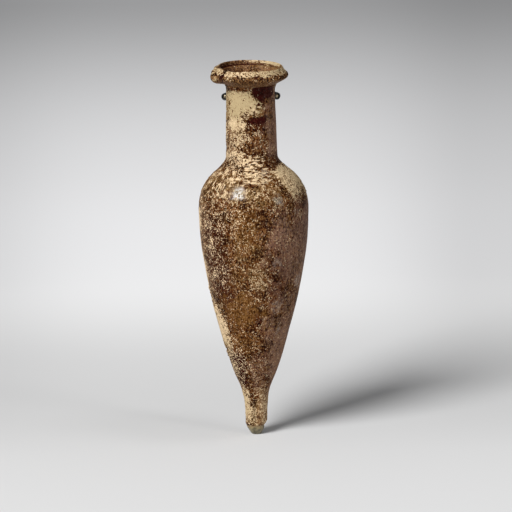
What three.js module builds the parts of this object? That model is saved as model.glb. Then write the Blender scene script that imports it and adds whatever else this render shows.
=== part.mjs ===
// A hand-blown glass perfume bottle with a pointed foot, and the wire fork that its neck leans on.
// Millimetres, +Z up. The origin is the centre of the small flat that the bottle's toe stands on,
// +X is the bottle's right side seen from the front, and the front looks along -Y.
// The blown wall, the rolled rim and the toe knob are three gathers or folds of glass, one above the
// other. Burial crust lies on them in separate patches. The fork cradles the neck from behind and
// pulls off backwards.
import * as THREE from "three";

// Toe knob: a small pad of glass pressed on the pointed end
const toeKnobHeight = 4.0;
const restFlatRadius = 1.6;

// Blown wall, from the toe collar up to the neck's top
const toeCollarHeight = 8.1;
const toeCollarRadius = 4.2;
const toeSeatRadius = 3.6;
const taperHeight = 79.9;
const bellyRadius = 21.9;
const shoulderHeight = 24.25;
const neckFootRadius = 10.15;
const neckHeight = 27.6;
const neckWaistRadius = 9.65;
const neckTopRadius = 10.45;
const neckWall = 1.9;
const bellyWall = 1.6;
const toeGlassHeight = 14.0;
const cavityFloorRounding = 9.0;

// Rolled rim: the lip folded out, down and in again into a thick ring
const rimHeight = 6.9;
const rimRadius = 15.0;
const lipRadius = 13.0;
const lipWidth = 1.0;
const foldStep = 1.1;
const rimTilt = -0.4;

// Lump where the fold's two ends meet, on the left and a little to the front
const lumpTurn = THREE.MathUtils.degToRad(15);
const lumpReach = 1.2;
const lumpDroop = 2.0;
const lumpWidth = 4.0;

// Crease pinched up the front of the toe, and the lobe to its right
const creaseDepth = 0.75;
const creaseWidth = 1.0;
const creaseHeight = 19.0;
const lobeReach = 0.55;

// How far the belly of the hand-blown bottle sags to the right of the line from toe to mouth. The
// sag grows over a share of the taper and dies out over the last share of the shoulder.
const bellySag = 0.4;
const sagGrowthShare = 0.6;
const sagEndShare = 0.5;

// Burial crust
const crustSeat = 0.3;
const crustThickness = 0.4;
const crustEdge = 0.12;

// Wire fork
const wireRadius = 0.8;
const sleeveRadius = 1.45;
const sleeveLength = 9.0;
const sleeveClearance = 0.15;
const forkWrap = THREE.MathUtils.degToRad(67);
const forkDrop = 6.4;
const forkSeat = 0.3;
const wireRecess = 0.2;
const stemRadius = 1.2;
const stemLength = 14.0;
const brazeGap = 0.3;

// Heights of the joints between the parts, and of the widest place
const toeSeatZ = toeKnobHeight;
const taperFootZ = toeSeatZ + toeCollarHeight;
const bellyZ = taperFootZ + taperHeight;
const neckFootZ = bellyZ + shoulderHeight;
const neckTopZ = neckFootZ + neckHeight;
const cavityFloorZ = toeSeatZ + toeGlassHeight;

// Outlines, as shares of the height and of the change of radius of the length that they belong to
const collarOutlineShares = [
  [0.1, 0.55],
  [0.5, 0.85],
];
const taperOutlineShares = [
  [0.075, 0.064],
  [0.165, 0.229],
  [0.26, 0.372],
  [0.36, 0.497],
  [0.525, 0.695],
  [0.69, 0.857],
  [0.85, 0.965],
  [1.0, 1.0],
];
const shoulderOutlineShares = [
  [0.19, 0.98],
  [0.33, 0.905],
  [0.465, 0.765],
  [0.6, 0.55],
  [0.73, 0.262],
  [0.865, 0.045],
  [1.0, 0.0],
];
const neckMiddleShare = 0.45;
const neckWaistShare = 0.87;

// The rim's section, as shares of its height and of its overhang past the neck
const rimOutlineShares = [
  [0.062, 0.23],
  [0.18, 0.58],
  [0.3, 0.845],
  [0.4, 0.967],
  [0.49, 1.0],
  [0.6, 0.955],
  [0.74, 0.76],
  [0.87, 0.615],
];
const lipBackShare = 0.95;
const foldShare = 0.76;
const throatShare = 0.2;

// The knob's side, as shares of its height and of its spread from the flat up to the toe seat
const knobOutlineShares = [
  [0.18, 0.34],
  [0.4, 0.63],
  [0.7, 0.88],
];

// How finely the round pieces are cut
const roundSegments = 40;
const wallSteps = 38;
const cavitySteps = 22;
const rimSteps = 20;
const knobSteps = 7;
const quarterSides = 3;
const wireSteps = 26;
const sleeveSteps = 7;
const patchColumns = 11;
const patchRows = 9;

const LEFT = Math.PI;
const FRONT = -Math.PI / 2;
const RIGHT = 0;

function finish(colour, roughness, metalness) {
  return new THREE.MeshStandardMaterial({ color: colour, roughness, metalness });
}

const weatheredGlass = finish("#6a4a2e", 0.5, 0.0);
const rimGlass = finish("#8a6c48", 0.55, 0.0);
const knobGlass = finish("#7a7358", 0.4, 0.0);
const limeCrust = finish("#cdb98c", 0.85, 0.0);
const brassWire = finish("#8f8a80", 0.35, 1.0);
const blackSleeve = finish("#0c0c0d", 0.45, 0.0);

function smoothstep(from, to, value) {
  const share = THREE.MathUtils.clamp((value - from) / (to - from), 0, 1);
  return share * share * (3 - 2 * share);
}

// The axis is plumb at the toe and in the neck, and bows out between them.
function axisShift(z) {
  const growth = smoothstep(taperFootZ, taperFootZ + taperHeight * sagGrowthShare, z);
  const end = smoothstep(neckFootZ - shoulderHeight * sagEndShare, neckFootZ, z);
  return bellySag * growth * (1 - end);
}

// The outside of the blown wall, from the toe seat to the neck's top, as points of (radius, height)
function wallOutline() {
  const points = [new THREE.Vector2(toeSeatRadius, toeSeatZ)];
  for (const [up, out] of collarOutlineShares) {
    const radius = THREE.MathUtils.lerp(toeSeatRadius, toeCollarRadius, out);
    points.push(new THREE.Vector2(radius, toeSeatZ + up * toeCollarHeight));
  }
  points.push(new THREE.Vector2(toeCollarRadius, taperFootZ));
  for (const [up, out] of taperOutlineShares) {
    const radius = THREE.MathUtils.lerp(toeCollarRadius, bellyRadius, out);
    points.push(new THREE.Vector2(radius, taperFootZ + up * taperHeight));
  }
  for (const [up, out] of shoulderOutlineShares) {
    const radius = THREE.MathUtils.lerp(neckFootRadius, bellyRadius, out);
    points.push(new THREE.Vector2(radius, bellyZ + up * shoulderHeight));
  }
  const neckMiddleRadius = (neckFootRadius + neckWaistRadius) / 2;
  points.push(new THREE.Vector2(neckMiddleRadius, neckFootZ + neckHeight * neckMiddleShare));
  points.push(new THREE.Vector2(neckWaistRadius, neckFootZ + neckHeight * neckWaistShare));
  points.push(new THREE.Vector2(neckTopRadius, neckTopZ));
  return new THREE.SplineCurve(points).getSpacedPoints(wallSteps);
}

const wallPoints = wallOutline();

function wallRadius(z) {
  const above = wallPoints.findIndex((point) => point.y > z);
  if (above <= 0) return above === 0 ? toeSeatRadius : neckTopRadius;
  const low = wallPoints[above - 1];
  const high = wallPoints[above];
  return THREE.MathUtils.mapLinear(z, low.y, high.y, low.x, high.x);
}

// The crease and the lobe beside it swell and pinch the toe; they fade out up the taper.
function toePinch(angle, z) {
  const radius = wallRadius(z);
  const fade = 1 - smoothstep(taperFootZ, toeSeatZ + creaseHeight, z);
  const begin = smoothstep(toeSeatZ, toeSeatZ + toeCollarHeight / 4, z);
  const across = (angle - FRONT) * radius;
  const crease = Math.exp(-((across / creaseWidth) ** 2));
  const lobe = Math.max(0, Math.cos(angle - RIGHT));
  return begin * fade * (lobeReach * lobe - creaseDepth * crease);
}

// Turns a lathe round Z, then lets a shape function move each point and the axis lean
function turned(profile, shape) {
  const geometry = new THREE.LatheGeometry(profile, roundSegments);
  geometry.rotateX(Math.PI / 2);
  const position = geometry.getAttribute("position");
  for (let i = 0; i < position.count; i++) {
    const x = position.getX(i);
    const y = position.getY(i);
    const place = { radius: Math.hypot(x, y), z: position.getZ(i), angle: Math.atan2(y, x) };
    const moved = shape(place);
    position.setXYZ(
      i,
      moved.radius * Math.cos(place.angle) + axisShift(place.z),
      moved.radius * Math.sin(place.angle),
      moved.z,
    );
  }
  return geometry;
}

function blownWall() {
  const axisFoot = new THREE.Vector2(0, toeSeatZ);
  const inside = [];
  const cavityDepth = neckTopZ - cavityFloorZ;
  for (let step = 0; step <= cavitySteps; step++) {
    const z = neckTopZ - (cavityDepth * step) / cavitySteps;
    const wall = THREE.MathUtils.lerp(bellyWall, neckWall, smoothstep(bellyZ, neckFootZ, z));
    const rounding = THREE.MathUtils.clamp((z - cavityFloorZ) / cavityFloorRounding, 0, 1);
    const radius = (wallRadius(z) - wall) * Math.sqrt(1 - (1 - rounding) ** 2);
    inside.push(new THREE.Vector2(radius, z));
  }
  // The neck flares at its top on the outside only, so the bore meets the rim's bore.
  inside[0].x = neckWaistRadius - neckWall;
  const profile = [axisFoot, ...wallPoints, ...inside];
  return turned(profile, ({ radius, z, angle }) => {
    const onOutside = radius > wallRadius(z) - bellyWall / 2;
    return { radius: onOutside ? radius + toePinch(angle, z) : radius, z };
  });
}

// Section of the rim: out along its underside, round its edge, over the lip, and down the funnel
// inside, which has a step where the folded lip ends
function rimSection() {
  const boreRadius = neckWaistRadius - neckWall;
  const upTo = (share) => neckTopZ + rimHeight * share;
  const outside = [new THREE.Vector2(neckTopRadius, neckTopZ)];
  for (const [up, out] of rimOutlineShares) {
    outside.push(new THREE.Vector2(THREE.MathUtils.lerp(neckTopRadius, rimRadius, out), upTo(up)));
  }
  outside.push(new THREE.Vector2(lipRadius, upTo(1)));
  outside.push(new THREE.Vector2(lipRadius - lipWidth, upTo(lipBackShare)));
  const curve = new THREE.SplineCurve(outside).getPoints(rimSteps);
  const foldRadius = lipRadius - lipWidth - foldStep / 4;
  return [
    ...curve,
    new THREE.Vector2(foldRadius, upTo(foldShare)),
    new THREE.Vector2(foldRadius - foldStep, upTo(foldShare) - foldStep / 4),
    new THREE.Vector2(boreRadius, upTo(throatShare)),
    new THREE.Vector2(boreRadius, neckTopZ),
    curve[0].clone(),
  ];
}

function rolledRim() {
  return turned(rimSection(), ({ radius, z, angle }) => {
    const fromLump = angle - LEFT - lumpTurn;
    const across = Math.atan2(Math.sin(fromLump), Math.cos(fromLump)) * rimRadius;
    const near = Math.exp(-((across / lumpWidth) ** 2));
    const outer = smoothstep(neckTopRadius, rimRadius, radius);
    const lift = smoothstep(neckTopZ, neckTopZ + rimHeight, z);
    const tilt = (rimTilt * lift * radius * Math.cos(angle)) / rimRadius;
    const bulge = lumpReach * near * smoothstep(lipRadius - lipWidth, lipRadius, radius);
    const droop = lumpDroop * near * outer * (1 - lift);
    return { radius: radius + bulge, z: z + tilt - droop };
  });
}

function toeKnob() {
  const points = [new THREE.Vector2(restFlatRadius, 0)];
  for (const [up, out] of knobOutlineShares) {
    const radius = THREE.MathUtils.lerp(restFlatRadius, toeSeatRadius, out);
    points.push(new THREE.Vector2(radius, up * toeKnobHeight));
  }
  points.push(new THREE.Vector2(toeSeatRadius, toeKnobHeight));
  const side = new THREE.SplineCurve(points).getPoints(knobSteps);
  const profile = [new THREE.Vector2(0, 0), ...side, new THREE.Vector2(0, toeKnobHeight)];
  return turned(profile, (place) => place);
}

// A point on the glass, lifted off it square to the wall
function onGlass(angle, z, lift) {
  const reach = taperHeight / wallSteps / 2;
  const slope = (wallRadius(z + reach) - wallRadius(z - reach)) / (2 * reach);
  const steep = Math.hypot(1, slope);
  const radius = wallRadius(z) + toePinch(angle, z) + lift / steep;
  const height = z - (lift * slope) / steep;
  return new THREE.Vector3(radius * Math.cos(angle) + axisShift(z), radius * Math.sin(angle), height);
}

// A patch of crust: a curved plate over the glass, thin at its edge. The foot and top shares say where
// it lies on its zone. The width shares say how far it reaches to either side of its middle line, at
// even steps from its foot to its top.
function crustPatch({ zone, footShare, topShare, angle, spread, leftShares, rightShares }) {
  const widthAt = (shares, share) => {
    const place = share * (shares.length - 1);
    const low = Math.min(Math.floor(place), shares.length - 2);
    return THREE.MathUtils.lerp(shares[low], shares[low + 1], place - low) * spread;
  };
  const inner = [];
  const outer = [];
  for (let row = 0; row <= patchRows; row++) {
    const up = row / patchRows;
    const z = zone.foot + zone.height * THREE.MathUtils.lerp(footShare, topShare, up);
    for (let column = 0; column <= patchColumns; column++) {
      const across = column / patchColumns;
      const turn = THREE.MathUtils.lerp(-widthAt(leftShares, up), widthAt(rightShares, up), across);
      const onEdge = row === 0 || row === patchRows || column === 0 || column === patchColumns;
      const thickness = onEdge ? crustEdge : crustThickness;
      inner.push(onGlass(angle + turn, z, crustSeat));
      outer.push(onGlass(angle + turn, z, crustSeat + thickness));
    }
  }
  return plate(inner, outer);
}

// Closes two grids of points, one over the other, into a plate
function plate(inner, outer) {
  const stride = patchColumns + 1;
  const corners = [...inner, ...outer];
  const faces = [];
  const quad = (a, b, c, d) => faces.push(a, b, c, a, c, d);
  for (let row = 0; row < patchRows; row++) {
    for (let column = 0; column < patchColumns; column++) {
      const a = row * stride + column;
      quad(a, a + stride, a + stride + 1, a + 1);
      const b = a + inner.length;
      quad(b, b + 1, b + stride + 1, b + stride);
    }
  }
  const rim = [];
  for (let column = 0; column < patchColumns; column++) rim.push(column);
  for (let row = 0; row < patchRows; row++) rim.push(row * stride + patchColumns);
  for (let column = patchColumns; column > 0; column--) rim.push(patchRows * stride + column);
  for (let row = patchRows; row > 0; row--) rim.push(row * stride);
  rim.forEach((here, i) => {
    const next = rim[(i + 1) % rim.length];
    quad(here, next, next + inner.length, here + inner.length);
  });
  const geometry = new THREE.BufferGeometry().setFromPoints(corners);
  geometry.setIndex(faces);
  geometry.computeVertexNormals();
  return geometry;
}

const toeZone = { foot: toeSeatZ, height: creaseHeight };
const taperZone = { foot: taperFootZ, height: taperHeight };
const shoulderZone = { foot: bellyZ, height: shoulderHeight };
const neckZone = { foot: neckFootZ, height: neckHeight };

// The crust patches. Angles run from the right, by way of the back, to the left and the front.
const crustPatches = {
  neck_crust: {
    angle: FRONT - Math.PI / 8,
    spread: Math.PI / 3,
    zone: neckZone,
    footShare: 0.06,
    topShare: 0.88,
    leftShares: [0.9, 1.1, 1.15, 1.1, 1.0],
    rightShares: [0.2, 0.3, 0.65, 0.9, 0.7],
  },
  left_shoulder_crust: {
    angle: FRONT - Math.PI / 5,
    spread: Math.PI / 3,
    zone: shoulderZone,
    footShare: 0.05,
    topShare: 0.84,
    leftShares: [0.5, 0.9, 1.0, 1.0, 0.9],
    rightShares: [0.4, 0.8, 1.0, 1.0, 0.8],
  },
  right_shoulder_crust: {
    angle: FRONT + Math.PI / 3,
    spread: Math.PI / 9,
    zone: shoulderZone,
    footShare: 0.08,
    topShare: 0.82,
    leftShares: [0.4, 0.9, 1.0, 0.9, 0.6],
    rightShares: [0.6, 1.0, 1.1, 1.0, 0.6],
  },
  side_crust: {
    angle: LEFT + Math.PI / 20,
    spread: Math.PI / 5,
    zone: taperZone,
    footShare: 0.23,
    topShare: 0.6,
    leftShares: [0.5, 0.9, 1.1, 1.0, 0.6],
    rightShares: [0.8, 0.95, 0.8, 0.5, 0.25],
  },
  toe_crust: {
    angle: LEFT + Math.PI / 5,
    spread: Math.PI / 5,
    zone: toeZone,
    footShare: 0.13,
    topShare: 1.0,
    leftShares: [1.0, 1.2, 1.2, 1.0, 0.7],
    rightShares: [0.9, 1.0, 1.0, 0.8, 0.5],
  },
};

// The fork: a wire arc that lies level behind the neck, with a sleeve on each end where it touches
// the glass, and a stem brazed to its back. Angles are counted from the arc's middle, at the back.
const forkZ = neckTopZ - forkDrop;
const arcRadius = wallRadius(forkZ) + forkSeat + sleeveRadius;
const wireEndTurn = forkWrap - wireRecess / arcRadius;

class BackArc extends THREE.Curve {
  constructor(fromTurn, toTurn) {
    super();
    this.fromTurn = fromTurn;
    this.toTurn = toTurn;
  }

  getPoint(share, target = new THREE.Vector3()) {
    const turn = THREE.MathUtils.lerp(this.fromTurn, this.toTurn, share);
    return target.set(arcRadius * Math.sin(turn), arcRadius * Math.cos(turn), 0);
  }
}

function disc(radius) {
  return new THREE.Shape().absarc(0, 0, radius, 0, 2 * Math.PI);
}

function forkWire() {
  return new THREE.ExtrudeGeometry(disc(wireRadius), {
    steps: wireSteps,
    curveSegments: 2 * quarterSides,
    extrudePath: new BackArc(-wireEndTurn, wireEndTurn),
  });
}

function forkSleeve(side) {
  const ring = disc(sleeveRadius);
  ring.holes.push(disc(wireRadius + sleeveClearance));
  const innerTurn = forkWrap - sleeveLength / arcRadius;
  return new THREE.ExtrudeGeometry(ring, {
    steps: sleeveSteps,
    curveSegments: 2 * quarterSides,
    extrudePath: new BackArc(side * innerTurn, side * forkWrap),
  });
}

function forkStem() {
  const stem = new THREE.CylinderGeometry(stemRadius, stemRadius, stemLength, 8 * quarterSides);
  stem.translate(0, arcRadius + wireRadius + brazeGap + stemLength / 2, 0);
  return stem;
}

function named(name, geometry, material) {
  const mesh = new THREE.Mesh(geometry, material);
  mesh.name = name;
  return mesh;
}

const bottle = new THREE.Group();
bottle.add(named("blown_body", blownWall(), weatheredGlass));
bottle.add(named("rolled_rim", rolledRim(), rimGlass));
bottle.add(named("toe_knob", toeKnob(), knobGlass));
for (const [name, patch] of Object.entries(crustPatches)) {
  bottle.add(named(name, crustPatch(patch), limeCrust));
}

const fork = new THREE.Group();
fork.position.z = forkZ;
fork.add(named("fork_wire", forkWire(), brassWire));
fork.add(named("fork_stem", forkStem(), brassWire));
for (const [side, sign] of [["left", -1], ["right", 1]]) {
  fork.add(named("fork_sleeve_" + side, forkSleeve(sign), blackSleeve));
}

const perfumeBottle = new THREE.Group();
perfumeBottle.add(bottle, fork);
export default perfumeBottle;
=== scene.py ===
"""A hand-blown glass perfume bottle with a pointed foot, held at its neck by a sleeved wire fork.

Metres, +Z up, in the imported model's frame: the origin is under the toe and the front looks along -Y.
A turn is an angle round the bottle, 0 at the front and growing to the right. A height is counted up
from the toe. Both are written in degrees and millimetres where a value is typed.
"""
import math

import bpy
import numpy as np
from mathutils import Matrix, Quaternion, Vector, noise


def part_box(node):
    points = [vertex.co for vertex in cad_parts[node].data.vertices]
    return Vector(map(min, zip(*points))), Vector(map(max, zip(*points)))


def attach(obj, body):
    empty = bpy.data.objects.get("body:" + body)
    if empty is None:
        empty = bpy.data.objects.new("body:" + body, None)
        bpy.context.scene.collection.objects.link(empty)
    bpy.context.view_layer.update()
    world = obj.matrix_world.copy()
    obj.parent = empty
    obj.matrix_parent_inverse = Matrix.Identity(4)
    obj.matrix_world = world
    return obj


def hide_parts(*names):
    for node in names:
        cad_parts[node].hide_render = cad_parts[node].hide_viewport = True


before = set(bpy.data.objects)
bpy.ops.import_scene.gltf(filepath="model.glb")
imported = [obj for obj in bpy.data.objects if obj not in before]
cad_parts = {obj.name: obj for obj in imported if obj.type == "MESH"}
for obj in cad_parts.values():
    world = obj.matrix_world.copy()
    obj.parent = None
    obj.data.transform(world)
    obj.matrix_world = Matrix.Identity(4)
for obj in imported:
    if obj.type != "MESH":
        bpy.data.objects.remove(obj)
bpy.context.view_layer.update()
MM = 0.001

# Camera
# A long lens, thirteen degrees above the table, as the mouth's ellipse shows. The whole bottle leans
# a little to the left in the picture, so the camera is rolled by that much.
picture_pixels, pixel_size = 512, 0.4 * MM
sensor_width = 36.0
camera_distance = 2.0
camera_elevation = math.radians(13.0)
camera_roll = math.radians(0.9)
aim = Vector((1.04 * MM, 0.0, 73.3 * MM))

camera = bpy.data.objects.new("camera", bpy.data.cameras.new("camera"))
bpy.context.scene.collection.objects.link(camera)
bpy.context.scene.camera = camera
camera.data.sensor_width = sensor_width
camera.data.lens = sensor_width * camera_distance / (picture_pixels * pixel_size)
backwards = Vector((0.0, -math.cos(camera_elevation), math.sin(camera_elevation)))
camera.location = aim + backwards * camera_distance
camera.rotation_mode = "QUATERNION"
level = (-backwards).to_track_quat("-Z", "Y")
camera.rotation_quaternion = level @ Quaternion((0.0, 0.0, 1.0), -camera_roll)
bpy.context.scene.view_settings.view_transform = "Standard"


# Table
# A wide sheet of matt pale paper, which takes the bottle's soft shadow. Its colour carries a painted
# pool of light: brightest behind the bottle and falling off to the sides and far back.
def linear(hex_colour):
    """An sRGB hex colour as linear red, green, blue and alpha."""
    channels = [int(hex_colour[i:i + 2], 16) / 255 for i in (1, 3, 5)]
    curve = [c / 12.92 if c <= 0.04045 else ((c + 0.055) / 1.055) ** 2.4 for c in channels]
    return (*curve, 1.0)


def add_node(tree, kind, inputs=None, **settings):
    """Adds a node with its settings. inputs maps a socket to a value, or to an output that feeds it."""
    made = tree.nodes.new(kind)
    for name, value in settings.items():
        setattr(made, name, value)
    for name, value in (inputs or {}).items():
        if isinstance(value, bpy.types.NodeSocket):
            tree.links.new(value, made.inputs[name])
        else:
            made.inputs[name].default_value = value
    return made


def new_material(name):
    """An empty node material, as (material, its tree, its output node)."""
    material = bpy.data.materials.new(name)
    material.use_nodes = True
    material.node_tree.nodes.clear()
    return material, material.node_tree, add_node(material.node_tree, "ShaderNodeOutputMaterial")


def lay(tree, under, over, cover, low, high, most=1.0):
    """Lays a colour over another where a cover is thick: none of it at low, and most of it at high."""
    limits = {"Value": cover, "From Min": low, "From Max": high, "To Min": 0.0, "To Max": most}
    share = add_node(tree, "ShaderNodeMapRange", limits, interpolation_type="SMOOTHSTEP").outputs["Result"]
    under, over = (linear(colour) if isinstance(colour, str) else colour for colour in (under, over))
    return add_node(tree, "ShaderNodeMix", {0: share, 6: under, 7: over}, data_type="RGBA").outputs[2]


table_reach, table_sides = 4.0, 64
first_ring, ring_growth, inner_rings = 0.05, 1.6, 10
# The paper's painted light from front to back, as tones, each with its distance behind the bottle.
table_painted_light = [
    (-0.11, "#dcdcdc"), (-0.03, "#d9d9d9"), (0.035, "#cfcfcf"), (0.11, "#d7d7d7"), (0.2, "#dedede"),
    (0.29, "#dcdcdd"), (0.41, "#dcdcdd"), (0.5, "#d7d7d8"), (0.61, "#d1d1d2"), (0.73, "#c4c4c5"),
    (0.86, "#afafb0"), (0.99, "#99999a"),
]
table_rings = [first_ring * ring_growth ** i for i in range(inner_rings)] + [table_reach]
corners = [(0.0, 0.0, 0.0)]
for radius in table_rings:
    for side in range(table_sides):
        angle = 2 * math.pi * side / table_sides
        corners.append((radius * math.sin(angle), -radius * math.cos(angle), 0.0))
faces = [(0, 1 + side, 1 + (side + 1) % table_sides) for side in range(table_sides)]
for ring in range(len(table_rings) - 1):
    start = 1 + ring * table_sides
    for side in range(table_sides):
        after = (side + 1) % table_sides
        faces.append((start + side, start + table_sides + side, start + table_sides + after, start + after))
table_mesh = bpy.data.meshes.new("table")
table_mesh.from_pydata(corners, [], faces)
table = bpy.data.objects.new("table", table_mesh)
bpy.context.scene.collection.objects.link(table)

paper, tree, output = new_material("matt_paper")
place = add_node(tree, "ShaderNodeTexCoord").outputs["Object"]
split = add_node(tree, "ShaderNodeSeparateXYZ", {"Vector": place}).outputs
near, far = table_painted_light[0][0], table_painted_light[-1][0]
along = add_node(tree, "ShaderNodeMapRange", {"Value": split["Y"], "From Min": near, "From Max": far})
tones = add_node(tree, "ShaderNodeValToRGB", {"Fac": along.outputs["Result"]})
tones.color_ramp.interpolation = "B_SPLINE"
stops = tones.color_ramp.elements
for depth, tone in table_painted_light[1:-1]:
    stops.new((depth - near) / (far - near)).color = linear(tone)
stops[0].color = linear(table_painted_light[0][1])
stops[len(stops) - 1].color = linear(table_painted_light[-1][1])
# Painted falloff of light: the tone darkens sideways in proportion to the distance from where the
# picture is taken, and more so the farther back it is. Its brightest line runs a little to the left
# of the bottle.
bright_line, widest_square, most_faded, fade_depths = -0.0072, 0.0027, 0.22, (-0.03, 0.27)
away = add_node(tree, "ShaderNodeMath", {0: split["Y"], 1: camera_distance}).outputs[0]
sideways = add_node(tree, "ShaderNodeMath", {0: split["X"], 1: away}, operation="DIVIDE").outputs[0]
off_line = add_node(tree, "ShaderNodeMath", {0: sideways, 1: -bright_line}).outputs[0]
square = add_node(tree, "ShaderNodeMath", {0: off_line, 1: 2.0}, operation="POWER").outputs[0]
most_fading = add_node(tree, "ShaderNodeMapRange", {
    "Value": split["Y"], "From Min": fade_depths[0], "From Max": fade_depths[1],
    "To Min": 0.0, "To Max": most_faded,
}).outputs["Result"]
paper_painted_light = lay(tree, tones.outputs["Color"], "#343434", square, 0.0, widest_square, most_fading)
# Far behind the bottle the paper glows a little, a painted light for the eye and for what reflects or
# passes it.
glow_depths, most_glow = (0.11, 0.27), 0.23
rays = add_node(tree, "ShaderNodeLightPath").outputs
seen = rays["Is Camera Ray"]
for ray in ("Is Glossy Ray", "Is Transmission Ray"):
    seen = add_node(tree, "ShaderNodeMath", {0: seen, 1: rays[ray]}, operation="MAXIMUM").outputs[0]
far_glow = add_node(tree, "ShaderNodeMapRange", {
    "Value": split["Y"], "From Min": glow_depths[0], "From Max": glow_depths[1],
    "To Min": 0.0, "To Max": most_glow,
}, interpolation_type="SMOOTHSTEP").outputs["Result"]
glow = add_node(tree, "ShaderNodeMath", {0: seen, 1: far_glow}, operation="MULTIPLY").outputs[0]
paper_shader = add_node(tree, "ShaderNodeBsdfPrincipled", {
    "Base Color": paper_painted_light, "Roughness": 0.9, "Specular IOR Level": 0.1,
    "Emission Color": paper_painted_light, "Emission Strength": glow,
})
tree.links.new(paper_shader.outputs["BSDF"], output.inputs["Surface"])
table_mesh.materials.append(paper)


# Lamps and sky
# One large soft lamp to the front left throws the long shadow to the right and back. Two weak ones,
# on the right and overhead, add the small lights on the shoulder, and the pale sky fills the rest.
def add_lamp(name, turn, elevation, distance, width, height, brightness):
    """An oval lamp that looks at the bottle, its size as angles seen from there. At brightness 1 a
    surface square to it shows its own colour."""
    lamp = bpy.data.objects.new(name, bpy.data.lights.new(name, "AREA"))
    lamp.data.shape = "ELLIPSE"
    lamp.data.size = 2 * distance * math.tan(math.radians(width) / 2)
    lamp.data.size_y = 2 * distance * math.tan(math.radians(height) / 2)
    lamp.data.energy = brightness * (math.pi * distance) ** 2
    lamp.visible_camera = False
    a, e = math.radians(turn), math.radians(elevation)
    towards = Vector((math.sin(a) * math.cos(e), -math.cos(a) * math.cos(e), math.sin(e)))
    lamp.location = aim + towards * distance
    lamp.rotation_mode = "QUATERNION"
    lamp.rotation_quaternion = (-towards).to_track_quat("-Z", "Y")
    bpy.context.scene.collection.objects.link(lamp)


add_lamp("key_lamp", turn=-40, elevation=41, distance=5.0, width=24, height=34, brightness=1.3)
add_lamp("right_lamp", turn=55, elevation=12, distance=1.6, width=12, height=12, brightness=0.14)
add_lamp("top_lamp", turn=73, elevation=68, distance=1.6, width=12, height=12, brightness=0.08)

sky = bpy.data.worlds.new("pale_sky")
bpy.context.scene.world = sky
sky.use_nodes = True
tree = sky.node_tree
tree.nodes.clear()
to_camera = add_node(tree, "ShaderNodeLightPath").outputs["Is Camera Ray"]
fill = add_node(tree, "ShaderNodeBackground", {"Color": linear("#f4f5f7"), "Strength": 0.15}).outputs[0]
backdrop = add_node(tree, "ShaderNodeBackground", {"Color": linear("#b4b4b5"), "Strength": 1.0}).outputs[0]
chosen = add_node(tree, "ShaderNodeMixShader", {0: to_camera, 1: fill, 2: backdrop}).outputs[0]
add_node(tree, "ShaderNodeOutputWorld", {"Surface": chosen})

# Blown body
# The neck, the shoulder and the long pointed body are one bubble of brown glass, blown and drawn
# down by hand, so it is a little uneven and has fine wheel lines at the root of its neck. The ground
# has left a skin of pale lime on it, in grains and flakes, with bare amber glass between.
body_outline = [
    (3.6, 4.0), (3.93, 4.8), (4.11, 8.05), (4.2, 12.1), (5.33, 18.1), (8.25, 25.3), (10.78, 32.9),
    (13.0, 40.9), (16.5, 54.0), (19.37, 67.2), (21.28, 80.0), (21.9, 92.0), (21.67, 96.6),
    (20.78, 100.0), (19.14, 103.3), (16.61, 106.6), (13.23, 109.7), (10.68, 113.0), (10.15, 116.25),
    (9.9, 128.7), (9.65, 140.3), (10.45, 143.85),
]
toe_seat, above_seat, below_rim, neck_top = 4.0 * MM, 6.0 * MM, 142.0 * MM, 143.85 * MM
belly_sag = 0.4 * MM
sag_heights = [12.1 * MM, 60.0 * MM, 104.1 * MM, 116.25 * MM]
crease_depth, crease_width, lobe_reach = 0.75 * MM, 1.0 * MM, 0.55 * MM
crease_heights = [toe_seat, above_seat, 12.1 * MM, 23.0 * MM]
heel_reach, heel_top = 0.3 * MM, 7.0 * MM
wheel_line_depth, wheel_line_width = 0.035 * MM, 0.9 * MM
flake_height, flake_sink = 0.1 * MM, 0.03 * MM
flake_starts, flake_full, lime_flaking, film_bares = -0.1, 0.25, 1.3, 0.4
neck_wall, bore_waist = 1.9 * MM, 140.0 * MM
cavity_floor, floor_rounding, floor_closing = 18.0 * MM, 9.0 * MM, 0.99
body_columns, body_rows, bore_rows = 340, 268, 20
unrolled_radius, slope_step = 18.0 * MM, 0.5 * MM
# Noises, each as (how much of it, the size of its grains, its seed, how many times as tall as wide).
dents = [(0.16 * MM, 14.0 * MM, 1, 1.0), (0.05 * MM, 4.0 * MM, 2, 1.0)]
ragged_edges = [(1.0, 6.0 * MM, 3, 1.0), (0.6, 2.4 * MM, 4, 1.0), (0.4, 0.9 * MM, 5, 1.0)]
skin_flakes = [(0.5, 2.2 * MM, 7, 1.4), (0.5, 1.1 * MM, 8, 1.0)]
# A patch of a finish is full out to one share of its half spread and gone at another, and noise
# moves its edge by the third.
patch_full_share, patch_gone_share, patch_ragged_share = 0.55, 1.3, 0.45


def smooth_line(points, steps=24):
    """(radius, height) points in mm joined by a smooth curve, as a dense line in metres."""
    line = np.array(points, float) * MM
    line = np.vstack([2 * line[0] - line[1], line, 2 * line[-1] - line[-2]])
    t = np.linspace(0, 1, steps, endpoint=False)[:, None]
    fine = []
    for before, start, end, after in zip(line, line[1:], line[2:], line[3:]):
        slope = end - before
        bend = 2 * before - 5 * start + 4 * end - after
        twist = 3 * (start - end) + after - before
        fine.append(start + 0.5 * (t * slope + t ** 2 * bend + t ** 3 * twist))
    return np.vstack([*fine, line[-2]])


def lengths_along(line):
    """How far along a line each of its points lies."""
    return np.concatenate([[0], np.cumsum(np.linalg.norm(np.diff(line, axis=0), axis=1))])


def evenly(line, count):
    """count points at even steps along a line."""
    along = lengths_along(line)
    even = np.linspace(0, along[-1], count)
    return np.column_stack([np.interp(even, along, line[:, i]) for i in range(line.shape[1])])


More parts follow.
